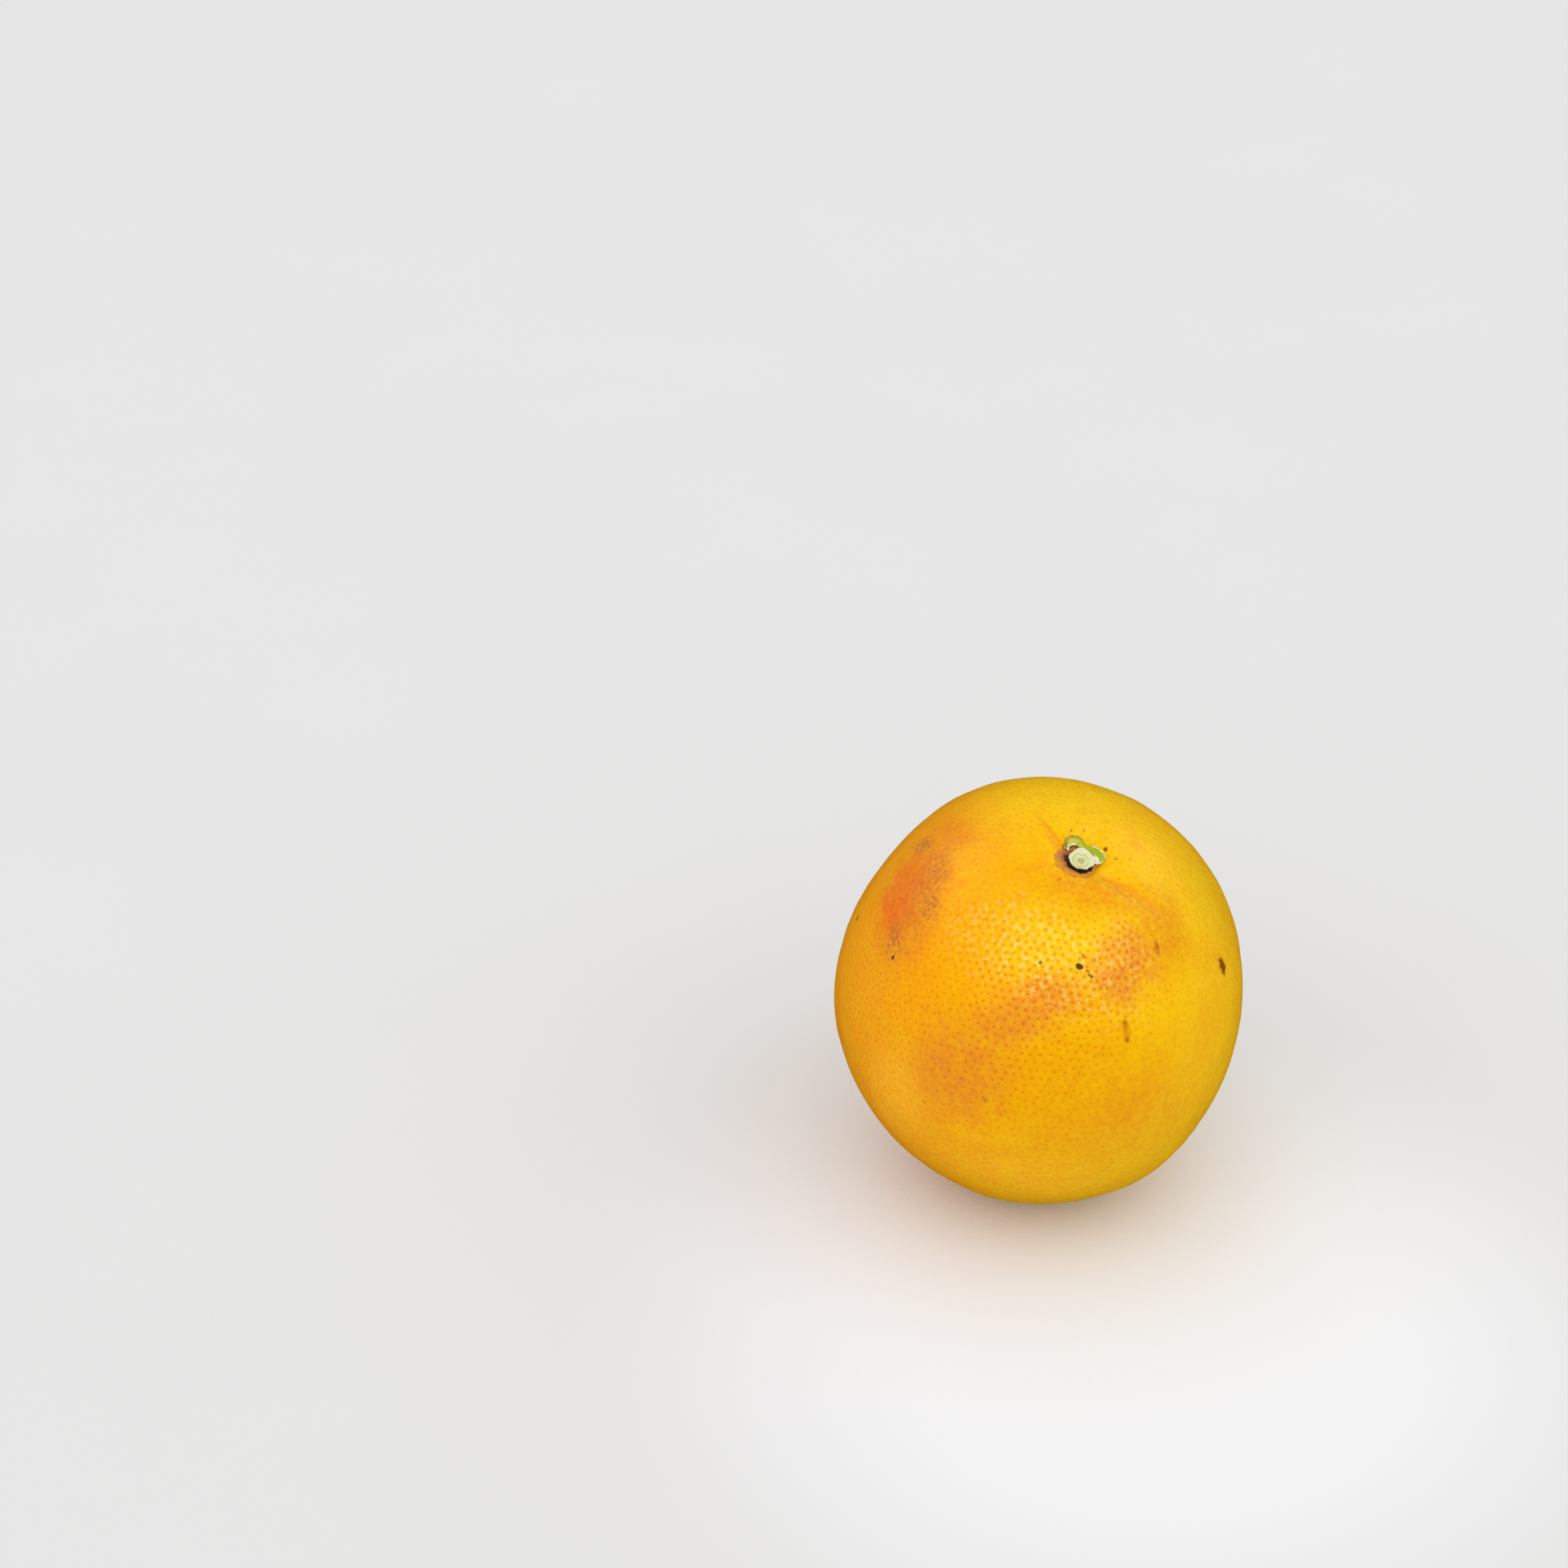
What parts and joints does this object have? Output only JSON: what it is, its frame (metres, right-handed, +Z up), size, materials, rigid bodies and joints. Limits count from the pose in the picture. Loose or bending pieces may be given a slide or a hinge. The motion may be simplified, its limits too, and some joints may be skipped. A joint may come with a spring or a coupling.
{
  "type": "grapefruit",
  "caption": "Whole ripe grapefruit with dimpled yellow-orange rind, cut green stem and remains of the calyx, resting on a small flat spot.",
  "frame": {"origin": "middle of the small flat spot under the fruit, on the surface it rests on", "axes": "+Z up, -Y towards the viewer; the stem end leans 22 degrees from +Z, towards the viewer and slightly to +X"},
  "size_m": [0.1003, 0.1055, 0.1031],
  "materials": {
    "rind": "waxy citrus rind, pitted with oil glands, satin",
    "calyx_green": "dry matt green leaf tissue with pale torn edges",
    "cut_stem": "matt pale green-white cut plant tissue, ringed"
  },
  "bodies": {
    "root": {"fruit": "rind", "calyx": "calyx_green", "stem_stub": "cut_stem"}
  },
  "joints": []
}
